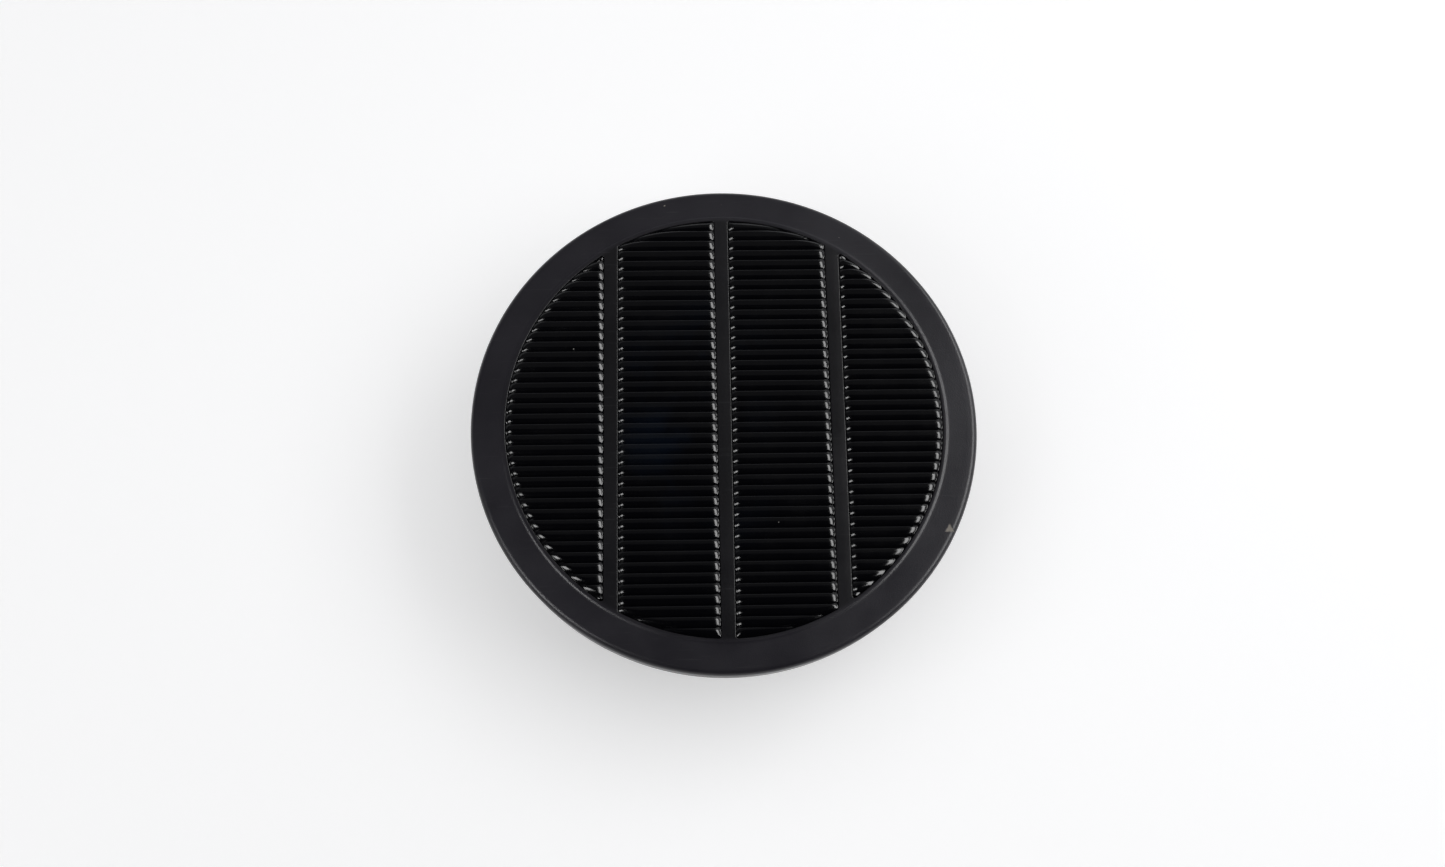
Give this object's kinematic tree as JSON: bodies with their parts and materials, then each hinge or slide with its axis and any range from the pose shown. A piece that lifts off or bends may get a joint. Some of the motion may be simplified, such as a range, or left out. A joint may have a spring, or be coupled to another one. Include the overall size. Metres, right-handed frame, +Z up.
{
  "type": "solar attic fan",
  "caption": "Round roof vent with a ribbed solar cap over a slotted screen, an axial fan in the throat, a switch under the cap and a roof flange.",
  "frame": {"origin": "on the fan's axis at the roof face, the underside of the flange gasket", "axes": "+Z up out of the roof along the fan's axis, +X along the window's ribs, -Y towards the switch"},
  "size_m": [0.232, 0.232, 0.0652],
  "materials": {
    "cap_plastic": "satin moulded black plastic with a fine grain",
    "window_plastic": "clear gloss plastic over black cells, ribbed",
    "seal_rubber": "black elastomer",
    "solar_cell": "anti-reflection coated silicon, dark blue-black",
    "circuit_board": "green solder mask",
    "tinned_copper": "tinned copper ribbon",
    "junction_plastic": "black moulded plastic",
    "tray_plastic": "matte black moulded plastic",
    "zinc_steel": "zinc-plated steel",
    "brass": "turned brass",
    "switch_plastic": "black nylon",
    "rocker_plastic": "black nylon, polished by use",
    "aluminium": "turned aluminium",
    "phenolic": "brown phenolic",
    "lead_red": "red silicone insulation",
    "lead_pair": "red and black insulation",
    "screen_metal": "dark coated mesh",
    "base_plastic": "UV-stable black plastic, lightly grained",
    "bracket_steel": "galvanised pressed steel",
    "bright_steel": "ground steel",
    "lamination_steel": "electrical steel",
    "copper_wire": "enamelled copper windings",
    "magnet": "bonded ferrite",
    "fan_plastic": "glass-filled black nylon",
    "nylon": "natural nylon",
    "spring_steel": "phosphated spring steel"
  },
  "bodies": {
    "housing": {"cap_cover": "cap_plastic", "panel_window": "window_plastic", "window_seal": "seal_rubber", "cells_inner": "solar_cell", "cells_outer": "solar_cell", "cell_board": "circuit_board", "bus_ribbons": "tinned_copper", "panel_junction": "junction_plastic", "cap_tray": "tray_plastic", "tray_screws": "zinc_steel", "threaded_inserts": "brass", "switch_body": "switch_plastic", "switch_terminals": "brass", "thermostat_cup": "aluminium", "thermostat_body": "phenolic", "thermostat_terminals": "brass", "lead_grommet": "seal_rubber", "panel_leads": "lead_red", "motor_leads": "lead_pair", "post_spacers": "aluminium", "post_screws": "zinc_steel", "insect_screen": "screen_metal", "fan_ring": "base_plastic", "collar_screws": "zinc_steel", "base_flange": "base_plastic", "flange_gasket": "seal_rubber", "motor_bracket": "bracket_steel", "bracket_screws": "zinc_steel", "bearing_tube": "brass", "ball_bearings": "bright_steel", "driver_board": "circuit_board", "driver_parts": "junction_plastic", "stator_core": "lamination_steel", "stator_coils": "copper_wire", "finger_guard": "tray_plastic", "guard_screws": "zinc_steel"},
    "fan": {"motor_shaft": "bright_steel", "rotor_yoke": "lamination_steel", "magnet_ring": "magnet", "impeller": "fan_plastic", "thrust_washer": "nylon", "shaft_clip": "spring_steel"},
    "rocker": {"switch_rocker": "rocker_plastic"}
  },
  "joints": [
    {"name": "fan_spin", "type": "hinge", "parent": "housing", "child": "fan", "pos_m": [0, 0, 0.005], "axis": [0, 0, 1], "continuous": true},
    {"name": "switch_tilt", "type": "hinge", "parent": "housing", "child": "rocker", "pos_m": [0, -0.1036, 0.03045], "axis": [0, 0, 1], "range_deg": [0, 18]}
  ]
}
